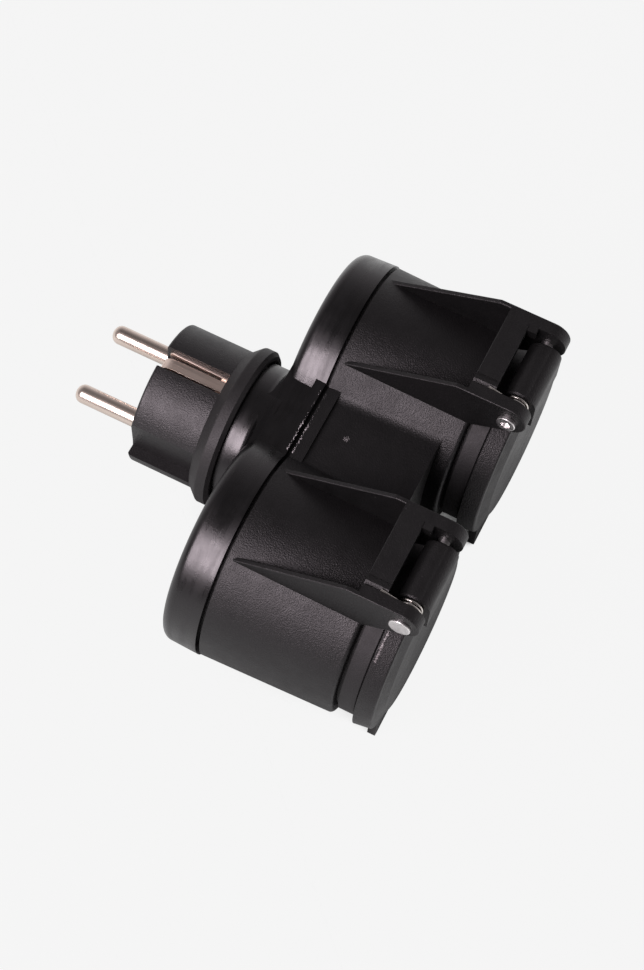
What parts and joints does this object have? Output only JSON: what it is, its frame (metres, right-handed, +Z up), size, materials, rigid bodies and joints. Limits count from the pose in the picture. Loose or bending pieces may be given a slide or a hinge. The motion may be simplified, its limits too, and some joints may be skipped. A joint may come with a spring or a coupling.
{
  "type": "outdoor two-way socket adaptor",
  "caption": "Outdoor plug-in mains adaptor: an earthed round-pin plug feeds side-by-side round sockets, each under a spring-closed hinged lid.",
  "frame": {"origin": "centre of the plug's face, midway between the two pins", "axes": "+Y out along the pins, -Y towards the lids, X through both sockets, +Z up towards the lid hinges"},
  "size_m": [0.1122, 0.1054, 0.0658],
  "materials": {
    "plug_plastic": "fine matte grain",
    "housing_plastic": "satin",
    "lid_plastic": "satin",
    "rubber": "matte",
    "nickel": "nickel plated",
    "earth_metal": "plated, dull",
    "brass": "bright",
    "rivet_metal": "bright",
    "spring_steel": "bright wire"
  },
  "bodies": {
    "adaptor": {"plug_body": "plug_plastic", "line_pin": "nickel", "neutral_pin": "nickel", "upper_earth_strip": "earth_metal", "lower_earth_strip": "earth_metal", "plug_seal": "rubber", "rear_cover": "housing_plastic", "front_housing": "housing_plastic", "line_busbar": "brass", "neutral_busbar": "brass", "earth_bar": "brass", "left_socket_insert": "housing_plastic", "left_earth_clip": "earth_metal", "left_hinge_pin": "rivet_metal", "left_hinge_spring": "spring_steel", "right_socket_insert": "housing_plastic", "right_earth_clip": "earth_metal", "right_hinge_pin": "rivet_metal", "right_hinge_spring": "spring_steel"},
    "left_lid": {"left_lid": "lid_plastic", "left_lid_gasket": "rubber"},
    "right_lid": {"right_lid": "lid_plastic", "right_lid_gasket": "rubber"}
  },
  "joints": [
    {"name": "left_lid_hinge", "type": "hinge", "parent": "adaptor", "child": "left_lid", "pos_m": [-0.0292, -0.0823, 0.0303], "axis": [-1, 0, 0], "range_deg": [0, 110], "stiffness_Nm_per_rad": 0.02, "springref_deg": -45.84, "deforming": ["left_hinge_spring"]},
    {"name": "right_lid_hinge", "type": "hinge", "parent": "adaptor", "child": "right_lid", "pos_m": [0.0292, -0.0823, 0.0303], "axis": [-1, 0, 0], "range_deg": [0, 110], "stiffness_Nm_per_rad": 0.02, "springref_deg": -45.84, "deforming": ["right_hinge_spring"]}
  ]
}
